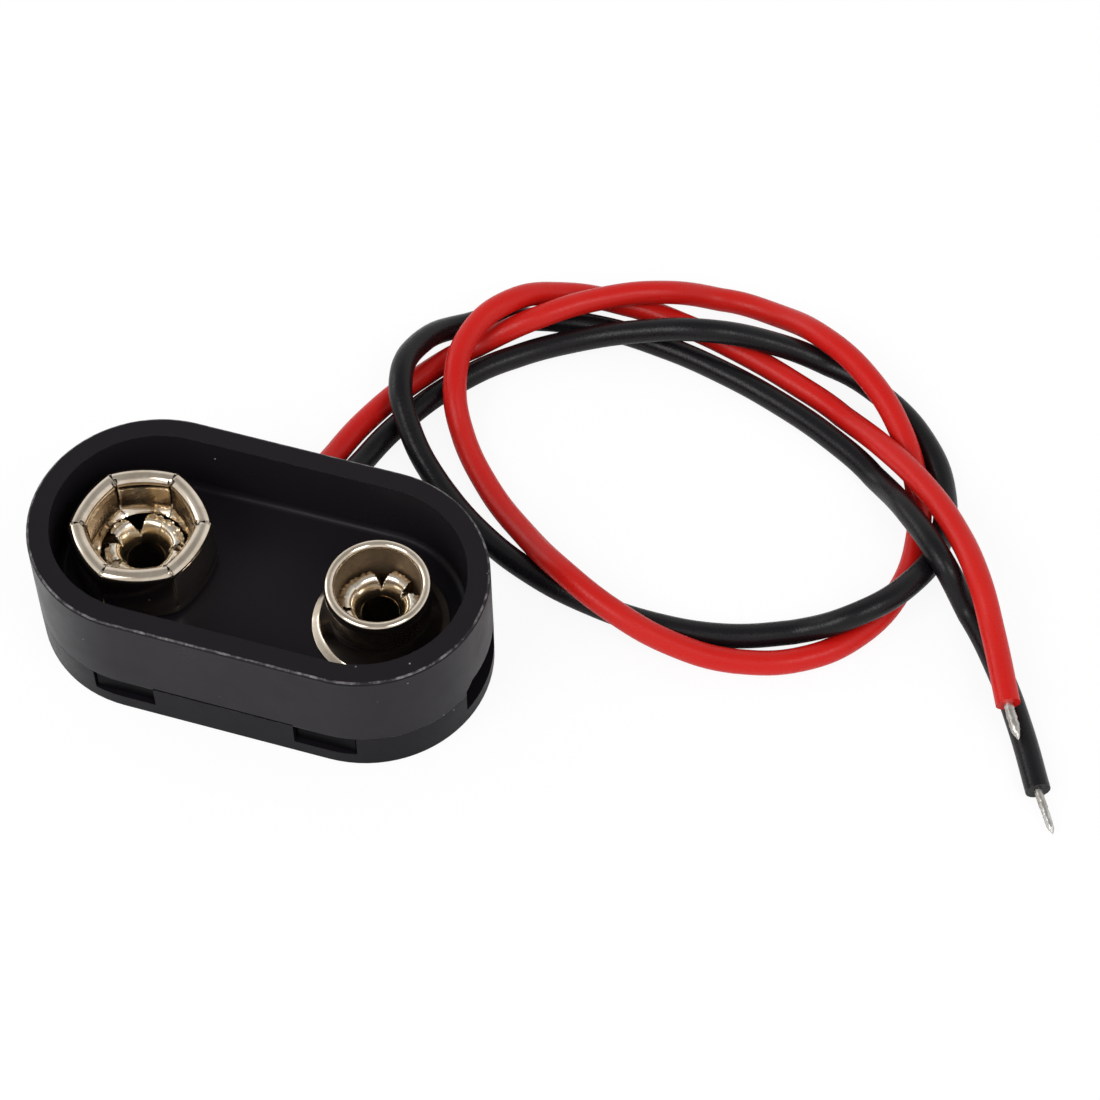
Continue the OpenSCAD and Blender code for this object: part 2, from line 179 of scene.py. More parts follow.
def placeCamera(view):
    azimuth, elevation, roll = (math.radians(view[key]) for key in ("azimuth", "elevation", "roll"))
    forward = Vector((-math.sin(azimuth) * math.cos(elevation),
                      math.cos(azimuth) * math.cos(elevation), -math.sin(elevation)))
    right = forward.cross(up).normalized()
    above = right.cross(forward)
    turn = Matrix((math.cos(roll) * right + math.sin(roll) * above,
                   math.cos(roll) * above - math.sin(roll) * right, -forward)).transposed()
    lens = bpy.data.cameras.new("photoCamera")
    lens.lens = view["lens"]
    lens.sensor_width = 36
    lens.clip_start = 0.01
    camera = bpy.data.objects.new("photoCamera", lens)
    camera.matrix_world = Matrix.Translation(view["target"] - view["distance"] * forward) @ turn.to_4x4()
    scene.collection.objects.link(camera)
    scene.camera = camera


placeCamera(cameraView)
scene.view_settings.view_transform = "Standard"
print("camera placed")

# Materials


def blackAbs(name, baseColour, gloss, paintedHighlight):
    # Injection-moulded ABS: deep black, satin gloss, the faint haze of a textured mould, a few pale
    # dust specks, and on the rounded upper edges a painted highlight: a pale broken line
    material, tree = newMaterial(name)
    place = addNode(tree, "ShaderNodeTexCoord").outputs["Object"]
    haze = addNode(tree, "ShaderNodeTexNoise", {"Scale": 1 / (3 * mm), "Detail": 4, "Roughness": 0.6},
                   {"Vector": place})
    grain = addNode(tree, "ShaderNodeTexNoise", {"Scale": 1 / (0.12 * mm), "Detail": 3}, {"Vector": place})
    specks = addNode(tree, "ShaderNodeTexVoronoi", {"Scale": 1 / (1.1 * mm), "Randomness": 1.0},
                     {"Vector": place})
    few = addNode(tree, "ShaderNodeMapRange", {"From Min": 0.055, "From Max": 0.02},
                  {"Value": specks.outputs["Distance"]})
    patch = addNode(tree, "ShaderNodeMapRange", {"From Min": 0.5, "From Max": 0.62},
                    {"Value": haze.outputs["Fac"]})
    dust = addNode(tree, "ShaderNodeMath", {"operation": "MULTIPLY"},
                   {0: few.outputs[0], 1: patch.outputs[0]})
    # painted highlight: noise mixes a pale colour into the base, up to the share given, as a broken bright
    # edge line
    edgeHighlightNoise = addNode(tree, "ShaderNodeTexNoise", {"Scale": 1 / (0.7 * mm), "Detail": 5, "Roughness": 0.7},
                   {"Vector": place})
    edgeHighlightShare = addNode(tree, "ShaderNodeMapRange", {"From Min": 0.46, "From Max": 0.62, "To Max": paintedHighlight},
                    {"Value": edgeHighlightNoise.outputs["Fac"]})
    edgeHighlighted = addNode(tree, "ShaderNodeMix",
                   {"data_type": "RGBA", 6: linear(baseColour), 7: linear("#c9c4c4")},
                   {0: edgeHighlightShare.outputs[0]})
    colour = addNode(tree, "ShaderNodeMix", {"data_type": "RGBA", 7: linear("#e6e2de")},
                     {0: dust.outputs[0], 6: edgeHighlighted.outputs[2]})
    rough = addNode(tree, "ShaderNodeMapRange",
                    {"From Min": 0.3, "From Max": 0.7, "To Min": 0.26, "To Max": 0.4},
                    {"Value": haze.outputs["Fac"]})
    bump = addNode(tree, "ShaderNodeBump", {"Strength": 0.12, "Distance": 0.01 * mm},
                   {"Height": grain.outputs["Fac"]})
    shader = addNode(tree, "ShaderNodeBsdfPrincipled", {"IOR": 1.52, "Specular IOR Level": gloss},
                     {"Base Color": colour.outputs[2], "Roughness": rough.outputs[0],
                      "Normal": bump.outputs[0]})
    addNode(tree, "ShaderNodeOutputMaterial", links={"Surface": shader.outputs[0]})
    return material


def platedMetal(name, baseColour, stainColour, roughness, relief=0.06):
    # Bright nickel plate on drawn sheet: warm mirror with soft smudges and fine drawing marks
    material, tree = newMaterial(name)
    place = addNode(tree, "ShaderNodeTexCoord").outputs["Object"]
    smudge = addNode(tree, "ShaderNodeTexNoise", {"Scale": 1 / (1.4 * mm), "Detail": 5, "Roughness": 0.65},
                     {"Vector": place})
    marks = addNode(tree, "ShaderNodeTexNoise", {"Scale": 1 / (0.15 * mm), "Detail": 3}, {"Vector": place})
    stained = addNode(tree, "ShaderNodeMapRange", {"From Min": 0.42, "From Max": 0.72},
                      {"Value": smudge.outputs["Fac"]})
    colour = addNode(tree, "ShaderNodeMix",
                     {"data_type": "RGBA", 6: linear(baseColour), 7: linear(stainColour)},
                     {0: stained.outputs[0]})
    smooth, dull = 0.7 * roughness, 1.4 * roughness
    rough = addNode(tree, "ShaderNodeMapRange",
                    {"From Min": 0.3, "From Max": 0.7, "To Min": smooth, "To Max": dull},
                    {"Value": smudge.outputs["Fac"]})
    bump = addNode(tree, "ShaderNodeBump", {"Strength": relief, "Distance": 0.01 * mm},
                   {"Height": marks.outputs["Fac"]})
    shader = addNode(tree, "ShaderNodeBsdfPrincipled", {"Metallic": 1.0},
                     {"Base Color": colour.outputs[2], "Roughness": rough.outputs[0],
                      "Normal": bump.outputs[0]})
    addNode(tree, "ShaderNodeOutputMaterial", links={"Surface": shader.outputs[0]})
    return material


def extrudedPvc(name, baseColour, scuffColour, roughness):
    # Extruded PVC insulation: strong colour, soft satin sheen broken up by a fine extrusion grain
    material, tree = newMaterial(name)
    place = addNode(tree, "ShaderNodeTexCoord").outputs["Object"]
    cloud = addNode(tree, "ShaderNodeTexNoise", {"Scale": 1 / (6 * mm), "Detail": 4}, {"Vector": place})
    grain = addNode(tree, "ShaderNodeTexNoise", {"Scale": 1 / (0.11 * mm), "Detail": 2, "Roughness": 0.6},
                    {"Vector": place})
    shade = addNode(tree, "ShaderNodeMapRange", {"From Min": 0.35, "From Max": 0.75, "To Max": 0.5},
                    {"Value": cloud.outputs["Fac"]})
    colour = addNode(tree, "ShaderNodeMix",
                     {"data_type": "RGBA", 6: linear(baseColour), 7: linear(scuffColour)},
                     {0: shade.outputs[0]})
    smooth, dull = roughness - 0.08, roughness + 0.1
    rough = addNode(tree, "ShaderNodeMapRange",
                    {"From Min": 0.3, "From Max": 0.7, "To Min": smooth, "To Max": dull},
                    {"Value": grain.outputs["Fac"]})
    bump = addNode(tree, "ShaderNodeBump", {"Strength": 0.6, "Distance": 0.016 * mm},
                   {"Height": grain.outputs["Fac"]})
    shader = addNode(tree, "ShaderNodeBsdfPrincipled", {"IOR": 1.53, "Specular IOR Level": 0.2},
                     {"Base Color": colour.outputs[2], "Roughness": rough.outputs[0],
                      "Normal": bump.outputs[0]})
    addNode(tree, "ShaderNodeOutputMaterial", links={"Surface": shader.outputs[0]})
    return material


housingAbs = blackAbs("mouldedAbsHousing", "#1c191d", 0.09, 0.0)
# the rounded upper edges: black ABS with a painted highlight, a pale broken line, and a stronger gloss
rimEdgeAbsPaintedHighlight = blackAbs("mouldedAbsPaintedEdgeHighlight", "#1c191d", 0.25, 0.25)
# darker, less glossy ABS for the latch hooks: the lower gloss is their matte finish, the darker colour is
# painted shade
hookAbsPaintedShade = blackAbs("mouldedAbsHookPaintedShade", "#0b0a0c", 0.02, 0.0)
coverAbs = blackAbs("mouldedAbsCover", "#131115", 0.05, 0.0)
nickel = platedMetal("brightNickelPlate", "#e0d3c2", "#c3b5a1", 0.12)
# darker brown, rougher nickel for the inside of the stud's hollow: the roughness is real, the darker colour
# is painted shade
satinNickelPaintedShade = platedMetal("satinNickelPaintedShadeInside", "#a08d76", "#7c6a56", 0.5)
# darker, rougher nickel for the leaves inside the socket: the roughness is real, the darker colour is painted
# shade
leafNickelPaintedShade = platedMetal("drawnNickelLeafPaintedShade", "#b9a993", "#8f7e69", 0.24)
eyeletMetal = platedMetal("nickelWashedBrass", "#e4ddd2", "#d3b98a", 0.18, 0.2)
tornBrass = platedMetal("tornBrassEdge", "#dfb56a", "#a37430", 0.24, 0.4)
tagBrass = platedMetal("stampedBrass", "#cbb26e", "#a88b4a", 0.28)
tinned = platedMetal("tinnedCopper", "#c9c7c3", "#a39c92", 0.3)
solderMetal = platedMetal("solder", "#c6c6c4", "#a5a3a0", 0.3)
redPvc = extrudedPvc("extrudedPvcRed", "#be140f", "#c32a22", 0.33)
blackPvc = extrudedPvc("extrudedPvcBlack", "#0f0d10", "#191719", 0.3)
print("materials made")

# Leads: routes in millimetres, eased a little from those of the solids. The exit is where the middle of
# a lead passes the housing's side, and length is that of the insulation
leads = {
    "redLead": {
        "node": "red_lead", "bareNode": "red_bare_end",
        "material": redPvc, "slot": "red_insulation",
        "length": 141 * mm, "exit": (-0.8, 6.5, 1.8),
        "route": [(-0.8, 3.7, 1.8), (-0.8, 6.8, 1.8), (-0.5, 8.8, 1.2), (0, 11.3, 0.65),
                  (1.03, 14.19, 0.65), (2.7, 17.24, 0.65), (5.03, 20.15, 0.7), (8.02, 22.07, 2),
                  (11.05, 24.18, 2.2), (14.18, 25.73, 2), (17.16, 27.12, 0.7), (20.33, 26.82, 0.9),
                  (23.5, 25.12, 2.1), (26.32, 23.19, 2.2), (28.69, 20.86, 1.6), (30.35, 18.16, 0.7),
                  (31.24, 14.66, 0.7), (31.04, 11.17, 0.7), (29.66, 8.04, 0.7), (27.18, 5.74, 0.7),
                  (23.9, 4.66, 0.65), (20.4, 4.47, 1.2), (17.1, 5.07, 2), (14.16, 6.39, 2.3),
                  (11.31, 8.82, 1.1), (8.71, 11.18, 0.65), (6.37, 13.97, 0.65), (5.01, 16.58, 1.9),
                  (4.91, 19.73, 2.4), (6.36, 22.38, 2.5), (8.87, 24.61, 1.3), (12.14, 25.29, 0.7),
                  (15.67, 24.84, 0.7), (19.14, 23.94, 0.7), (22.49, 22.72, 0.7), (25.56, 21.33, 0.65),
                  (28.5, 19.03, 1.8), (31.02, 16.72, 2.6), (33.14, 14.32, 3), (34.92, 11.67, 3.1),
                  (36.4, 9, 2.3), (38, 5.4, 1.9)],
    },
    "blackLead": {
        "node": "black_lead", "bareNode": "black_bare_end",
        "material": blackPvc, "slot": "black_insulation",
        "length": 145 * mm, "exit": (0.8, 6.5, 1.8),
        "route": [(0.8, 3.7, 1.8), (0.8, 6.8, 1.8), (1, 8.8, 1.2), (1.6, 11.4, 0.65),
                  (2.84, 14.45, 0.65), (4.75, 17.5, 0.65), (7.27, 20.08, 0.65), (10.3, 21.81, 1.1),
                  (13.68, 22.77, 2), (17.23, 23.33, 2.7), (20.63, 24.21, 1.8), (23.99, 24.46, 0.7),
                  (27.33, 23.22, 0.65), (30.12, 21, 0.65), (31.92, 18.01, 0.65), (32.42, 14.54, 1.1),
                  (31.59, 10.98, 2.1), (29.48, 8.33, 2.2), (26.33, 7.12, 0.8), (22.93, 5.99, 0.65),
                  (19.32, 5.63, 0.65), (15.7, 5.94, 0.7), (12.23, 6.88, 0.7), (8.99, 8.47, 0.7),
                  (6, 10.75, 0.7), (3.66, 13.01, 1.7), (2.31, 15.5, 2.6), (2.37, 18.55, 2),
                  (4.14, 21.44, 0.7), (7.44, 22.83, 0.7), (11.19, 23.4, 0.65), (14.91, 23.13, 0.65),
                  (18.52, 22.33, 0.7), (22.02, 21.21, 0.65), (25.32, 19.68, 0.7), (28.09, 17.92, 0.7),
                  (30.67, 14.89, 2.4), (32.91, 12.36, 2.7), (34.91, 10.82, 0.8), (37.09, 7.98, 0.65),
                  (38.9, 4.9, 0.65), (40.5, 1.6, 0.7)],
    },
}
leadShape = {"diameter": 1.3 * mm, "sides": 6, "stepsPerPoint": 8}


def layCurve(name, points, radius, steps, sides):  # smooth round cord through the points
    curve = bpy.data.curves.new(name, "CURVE")
    curve.dimensions = "3D"
    curve.bevel_depth = radius
    curve.bevel_resolution = sides
    curve.resolution_u = steps
    curve.use_fill_caps = True
    spline = curve.splines.new("BEZIER")
    spline.bezier_points.add(len(points) - 1)
    for knot, point in zip(spline.bezier_points, points):
        knot.co = point
        knot.handle_left_type = knot.handle_right_type = "AUTO"
    cord = bpy.data.objects.new(name, curve)
    scene.collection.objects.link(cord)
    bpy.context.view_layer.update()
    for knot in spline.bezier_points:  # no handle dips into the floor
        handles = knot.handle_left.copy(), knot.handle_right.copy()
        knot.handle_left_type = knot.handle_right_type = "FREE"
        knot.handle_left, knot.handle_right = [(at.x, at.y, max(at.z, radius)) for at in handles]
    return cord


# Tinned strands at the far ends: reach in millimetres beyond the insulation, and the girth along it as a
# share of the radius
bareEnds = {
    "redLead": {"name": "redBareEnd", "reach": (0.92, -1.68, -0.3), "radius": 0.25 * mm,
                "girth": [0.9, 0.98, 0.94, 1.04, 1.08, 0.98, 1.06, 0.96, 0.82, 0.5, 0.0]},
    "blackLead": {"name": "blackBareEnd", "reach": (1.2, -2, -0.3), "radius": 0.21 * mm,
                  "girth": [1.0, 0.95, 1.0, 0.96, 1.0, 0.92, 0.95, 0.86, 0.84, 0.7, 0.0]},
}


def makeBareEnd(look, lead):
    start = Vector(lead["route"][-1]) * mm
    reach = Vector(look["reach"]) * mm
    direction = reach.normalized()
    across = direction.cross(up).normalized()
    steps = len(look["girth"]) - 1
    stations = [-0.08]  # shares of the reach: the strands start inside the insulation and end in a point
    stations += [i / steps * (1.04 if i == steps else 1) for i in range(1, steps + 1)]
    points = [start + reach * station + across * look["radius"] * girth
              for station, girth in zip(stations, look["girth"])]
    piece = traceProfile(look["name"], points)
    spinPiece(14, math.radians(360), start, direction)
    bpy.ops.mesh.select_all(action="SELECT")
    bpy.ops.mesh.subdivide(number_cuts=1)
    bpy.ops.transform.vertex_random(offset=0.02 * mm, uniform=0.5, normal=0.5, seed=5)
    bpy.ops.object.mode_set(mode="OBJECT")
    smoothPiece(piece, 70)
    dress(piece, [tinned], lead["bareNode"])
    return piece


for name, lead in leads.items():
    route = [Vector(point) * mm for point in lead["route"]]
    bareEnd = makeBareEnd(bareEnds[name], lead)
    cord = layCurve(name, route, leadShape["diameter"] / 2, leadShape["stepsPerPoint"], leadShape["sides"])
    cord.data.materials.append(lead["material"])
    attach(cord, "root")
    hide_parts(lead["node"])
print("leads laid")


# Moulded housing and base cover: merged copies of the solids, with fine radii on their sharp edges


def evenNormals(mesh, look):  # walls and the radius round the cup's floor shade as true rounds
    normals = [corner.vector.copy() for corner in mesh.corner_normals]
    for face in mesh.polygons:
        endX = math.copysign(look["endX"], face.center.x)
        atEnd = abs(face.center.x) > abs(endX)
        height = face.center.z - look["cupZ"]
        inFillet = face.normal.z > 0.03 and -0.01 * mm < height < look["cupEdge"] + 0.01 * mm
        for loop in face.loop_indices:
            place = mesh.vertices[mesh.loops[loop].vertex_index].co
            outward = Vector((place.x - endX if atEnd else 0, place.y, 0)).normalized()
            facing = outward.dot(face.normal)
            if abs(face.normal.z) < 0.05 and abs(facing) > 0.95:
                normals[loop] = outward * math.copysign(1, facing)
            elif inFillet and facing < -0.03:
                lift = min(1, max(0, 1 - (place.z - look["cupZ"]) / look["cupEdge"]))
                normals[loop] = up * lift - outward * math.sqrt(1 - lift * lift)
    mesh.normals_split_custom_set(normals)


def dressMoulding(node, name, look):
    piece = bpy.data.objects.new(name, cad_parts[node].data.copy())
    scene.collection.objects.link(piece)
    activate(piece)
    bpy.ops.object.mode_set(mode="EDIT")
    bpy.ops.mesh.select_all(action="SELECT")
    bpy.ops.mesh.remove_doubles(threshold=0.03 * mm)
    bpy.ops.mesh.dissolve_limited(angle_limit=math.radians(0.6))
    bpy.ops.object.mode_set(mode="OBJECT")
    applyModifier(piece, "BEVEL", width=look["edge"], segments=2, angle_limit=math.radians(50))
    smoothPiece(piece, 35)
    applyModifier(piece, "WEIGHTED_NORMAL", keep_sharp=True)
    evenNormals(piece.data, look)
    dress(piece, look["materials"], node)
    for face in piece.data.polygons:  # the rounded upper edges get a painted highlight, a pale broken line
        tilt = math.degrees(face.normal.angle(up))
        if face.center.z > look["paintedHighlightFrom"] and 20 < tilt < 60:
            face.material_index = 1
        if face.center.z < look["paintedShadeTo"]:  # the latch hooks and everything else this low, seen through the windows, are darker: painted shade
            face.material_index = 2
    return piece


# Edge is the radius of the fine edges, endX the middle of the round ends, cupZ the floor inside and cupEdge
# the radius round that floor; edges above paintedHighlightFrom get a painted highlight, and what lies below
# paintedShadeTo is darker and duller: painted shade
mouldings = {
    "housing": {
        "name": "housingShell", "materials": [housingAbs, rimEdgeAbsPaintedHighlight, hookAbsPaintedShade], "slot": "housing_plastic",
        "edge": 0.08 * mm, "endX": 5.55 * mm, "cupZ": 3.65 * mm, "cupEdge": 0.4 * mm,
        "paintedHighlightFrom": 7.5 * mm, "paintedShadeTo": 2.45 * mm,
    },
    "base_cover": {
        "name": "baseCoverShell", "materials": [coverAbs, rimEdgeAbsPaintedHighlight], "slot": "cover_plastic",
        "edge": 0.08 * mm, "endX": 5.55 * mm, "cupZ": 1 * mm, "cupEdge": 0.3 * mm,
        "paintedHighlightFrom": 1.2 * mm, "paintedShadeTo": 0,
    },
}
for node, look in mouldings.items():
    dressMoulding(node, look["name"], look)
print("mouldings dressed")

# Hexagonal socket: six petals, each a strip that runs up the wall, rolls over and hangs inside as a leaf
socket = {
    "turn": 17.1,  # degrees to one of the corners
    "sideRadius": 5.916 * mm,  # of the bulged sides, round centres beyond the axis
    "sideBack": 2.394 * mm,  # how far those centres lie behind the axis
    "height": 3.74 * mm,
    "slitDepth": 2.9 * mm,
    "slitWidth": 0.09 * mm,
    "beadWidth": 0.95 * mm,
    "beadRise": 0.34 * mm,
    "sheet": 0.24 * mm,
    "lipReach": 2.32 * mm,
    "lipHeight": 1.17 * mm,
    "lipRounding": 0.16 * mm,  # how far the lips' corners come in to make a round mouth
    "turnIn": (0.3 * mm, 0.42 * mm),  # out and up from the lip, where the leaf starts to slope in to it
    "leafGap": 0.3 * mm,  # from the bead's middle down to the leaf
    "traceTurn": 19.5,  # degrees each way round a side's own centre, a little more than the slits leave
    "petalSteps": 28,
    "edge": 0.03 * mm,
    "plateBore": 1.36 * mm,
    "plateFold": 0.3 * mm,  # radius between the plate and the wall
}


def makeSocket(look):
    middle = middleOf("socket_snap")
    half = look["sheet"] / 2
    beadRadius = look["beadWidth"] / 2 - half
    beadHeight = look["height"] - look["beadRise"] - half
    wall = look["sideRadius"] - half
    leaf = wall - 2 * beadRadius
    foot = look["height"] - look["slitDepth"]
    lip = (look["lipReach"] + look["sideBack"], look["lipHeight"])
    strip = [(wall, foot), (wall, (foot + beadHeight) / 2)]
    strip += arcPoints((wall - beadRadius, beadHeight), (beadRadius, look["beadRise"]), 0, 180, 14)
    turnIn = (lip[0] + look["turnIn"][0], lip[1] + look["turnIn"][1])
    leafDrop = beadHeight - look["leafGap"] - turnIn[1]
    strip += [(turnIn[0] + (leaf - turnIn[0]) * share, turnIn[1] + leafDrop * share ** 1.3)
              for share in (1, 0.8, 0.6, 0.4, 0.2, 0)]
    strip += [(lip[0] + 0.2 * mm, lip[1] + 0.23 * mm), (lip[0] + 0.1 * mm, lip[1] + 0.09 * mm), lip]
    axis = middle - Vector((look["sideBack"], 0, 0))
    startTurn = -look["traceTurn"]
    points = [around(axis, startTurn, reach, middle.z + height) for reach, height in strip]
    petal = traceProfile("petal", points)
    spinPiece(look["petalSteps"], math.radians(-2 * startTurn), axis)
    bpy.ops.object.mode_set(mode="OBJECT")
    for point in petal.data.vertices:  # the lips of the leaves close to a circle
        flat = Vector((point.co.x - middle.x, point.co.y - middle.y, 0))
        share = (middle.z + turnIn[1] - point.co.z) / (turnIn[1] - lip[1])
        if share > 0 and (flat + Vector((look["sideBack"], 0, 0))).length < leaf + half:
            turn = math.degrees(math.atan2(flat.y, flat.x))
            point.co -= flat.normalized() * look["lipRounding"] * share * (turn / 30) ** 2
    applyModifier(petal, "SOLIDIFY", thickness=look["sheet"], offset=0)
    bpy.ops.object.mode_set(mode="EDIT")
    for side in (1, -1):
        turn = math.radians(side * 30)
        normal = Vector((-math.sin(turn), math.cos(turn), 0)) * side
        cutAway(middle - normal * look["slitWidth"] / 2, normal, fill=True)
    bpy.ops.object.mode_set(mode="OBJECT")
    applyModifier(petal, "BEVEL", width=look["edge"], segments=2, angle_limit=math.radians(60))
    smoothPiece(petal, 50)
    for i in range(6):
        twin = copyTurned(petal, "socketPetal" + str(i + 1), middle, look["turn"] + 30 + 60 * i)
        dress(twin, [nickel, leafNickelPaintedShade], "socket_snap")
        for old, new in zip(petal.data.polygons, twin.data.polygons):  # the leaf is duller than the bead, and darker: painted shade
            reach = math.hypot(old.center.x - axis.x, old.center.y - axis.y)
            lift = old.center.z - middle.z
            if reach < leaf + half and turnIn[1] < lift < beadHeight - 0.4 * mm:
                new.material_index = 1
    bpy.data.objects.remove(petal)

    # Foot of the hexagon: plate and wall up to the slits
    fold = look["plateFold"]
    plate = [(look["plateBore"] + look["sideBack"], half)]
    plate += arcPoints((wall - fold, half + fold), (fold, fold), -90, 0, 4)
    plate += [(wall, foot)]
    points = [around(axis, startTurn, reach, middle.z + height) for reach, height in plate]
    side = traceProfile("side", points)
    spinPiece(look["petalSteps"], math.radians(-2 * startTurn), axis)
    for sign in (1, -1):
        turn = math.radians(sign * 30)
        cutAway(middle, Vector((-math.sin(turn), math.cos(turn), 0)) * sign)
    bpy.ops.object.mode_set(mode="OBJECT")
    sides = [copyTurned(side, "side" + str(i), middle, look["turn"] + 30 + 60 * i) for i in range(6)]
    bpy.data.objects.remove(side)
    activate(sides[0])
    for other in sides:
        other.select_set(True)
    bpy.ops.object.join()
    base = bpy.context.object
    base.name = "socketBase"
    bpy.ops.object.mode_set(mode="EDIT")
    bpy.ops.mesh.select_all(action="SELECT")
    bpy.ops.mesh.remove_doubles(threshold=0.02 * mm)
    bpy.ops.mesh.normals_make_consistent(inside=False)
    bpy.ops.object.mode_set(mode="OBJECT")
    applyModifier(base, "SOLIDIFY", thickness=look["sheet"], offset=0)
    smoothPiece(base, 40)
    dress(base, [nickel], "socket_snap")


makeSocket(socket)
print("socket modelled")

# Round stud, turned from its section
stud = {
    "bead": 2.72 * mm,
    "height": 3.7 * mm,
    "beadRadius": 0.26 * mm,
    "land": 0.36 * mm,
    "neck": 2.42 * mm,
    "flange": 3.54 * mm,
    "band": 3.12 * mm,  # from here in, the flange steps up and rises to the neck
    "mouth": 2.2 * mm,
    "flangeFall": 0.18 * mm,  # the flange slopes down to its edge
    "bottom": 2.06 * mm,
    "bottomFold": 0.35 * mm,  # radius between the hollow and its floor
    "bore": 1.4 * mm,
    "edge": 0.06 * mm,  # radius of the flange's edge
    "neckRise": [(0.2 * mm, 0.75 * mm), (0.06 * mm, 1 * mm), (0.01 * mm, 1.3 * mm), (0, 1.6 * mm)],
    "shoulder": 0.3 * mm,  # radius where the neck turns out to the bead
    "sheet": 0.3 * mm,
    "steps": 128,
}


def makeStud(look):
    middle = middleOf("stud_snap")
    bead = look["beadRadius"]
    sheet = look["sheet"]
    crest = (look["bead"] - bead, look["height"] - bead)
    lipReach = crest[0] - look["mouth"]
    edge = look["edge"]
    edgeZ = sheet - look["flangeFall"] - edge
    section = [(look["bore"], 0.02 * mm), (look["flange"] - edge, 0.01 * mm)]
    section += arcPoints((look["flange"] - edge, edgeZ), (edge, edge), -60, 75, 5)
    section += [(look["flange"] - 0.25 * mm, sheet - 0.13 * mm),
                (look["band"] + 0.06 * mm, sheet - 0.08 * mm), (look["band"], sheet - 0.05 * mm),
                (look["band"] - 0.05 * mm, sheet)]  # the sloping flange and the step up from it
    section += [(look["neck"] + out, rise) for out, rise in look["neckRise"]]
    shoulder = look["shoulder"]
    shoulderZ = crest[1] - look["land"] - 0.36 * mm
    section += arcPoints((look["neck"] + shoulder, shoulderZ), (shoulder, shoulder), 180, 130, 4)
    section += arcPoints((crest[0], crest[1] - look["land"]), (bead, bead), -60, 0, 5)
    section += arcPoints(crest, (bead, bead), 0, 90, 9)
    section += arcPoints(crest, (lipReach, bead), 100, 180, 8)
    section += [(look["mouth"] - 0.05 * mm, look["height"] - 1.1 * mm), (look["mouth"] - 0.1 * mm, 1.9 * mm),
                (look["bottom"] + 0.02 * mm, 1.1 * mm)]  # the hollow narrows downwards
    fold = look["bottomFold"]
    section += arcPoints((look["bottom"] - fold, sheet + fold), (fold, fold), 0, -90, 6)
    section += [(look["bore"], sheet)]
    points = [around(middle, 0, reach, middle.z + height) for reach, height in section + section[:1]]
    piece = traceProfile("studShell", points)
    spinPiece(look["steps"], math.radians(360), middle)
    bpy.ops.object.mode_set(mode="OBJECT")
    smoothPiece(piece, 50)
    dress(piece, [nickel, satinNickelPaintedShade], "stud_snap")
    for face in piece.data.polygons:  # the drawn inside is duller than the outside, and its darker brown is painted shade
        reach = math.hypot(face.center.x - middle.x, face.center.y - middle.y)
        if reach < look["mouth"] and face.center.z < middle.z + look["height"] - 0.4 * mm:
            face.material_index = 1


makeStud(stud)
print("stud modelled")

# Eyelets: a tube whose upper end is split into petals, rolled outwards and torn at the edges.
# Each split is an angle and how wide it opens, both in degrees; ends is how many points of the roll each
# petal has, and leans how many degrees it leans out
eyelets = {
    "socketEyelet": {
        "node": "socket_eyelet", "splitHeight": 0.4 * mm, "crest": 1.68 * mm, "reach": 0.6 * mm,
        "splits": [(12, 40), (74, 6), (122, 96), (184, 66), (236, 50), (300, 40)],
        "ends": [12, 12, 11, 12, 11, 10],
        "leans": [2, -4, 4, -2, 0, 3],
    },
    "studEyelet": {
        "node": "stud_eyelet", "splitHeight": 0.9 * mm, "crest": 2.02 * mm, "reach": 0.62 * mm,
        "splits": [(42, 56), (104, 84), (164, 4), (214, 30), (270, 40), (340, 40)],
        "ends": [11, 11, 12, 11, 11, 11],
        "leans": [3, -3, 0, 2, 0, 4],
    },
}
eyeletShape = {
    "bore": 0.98 * mm,
    "sheet": 0.22 * mm,
    "splitRoot": 1.12 * mm,
    "steps": 120,
    "tear": 0.15 * mm,
    "edge": 0.05 * mm,
    "flangeReach": 0.85 * mm,
    "fold": 0.12 * mm,  # between the flange and the tube
    "roll": [(0, 0), (0.04, 0.12), (0.11, 0.27), (0.21, 0.43), (0.33, 0.6), (0.47, 0.76), (0.63, 0.9),
             (0.8, 0.98), (1, 1), (1.2, 0.96), (1.36, 0.87), (1.46, 0.74)],  # shares of reach and rise
}


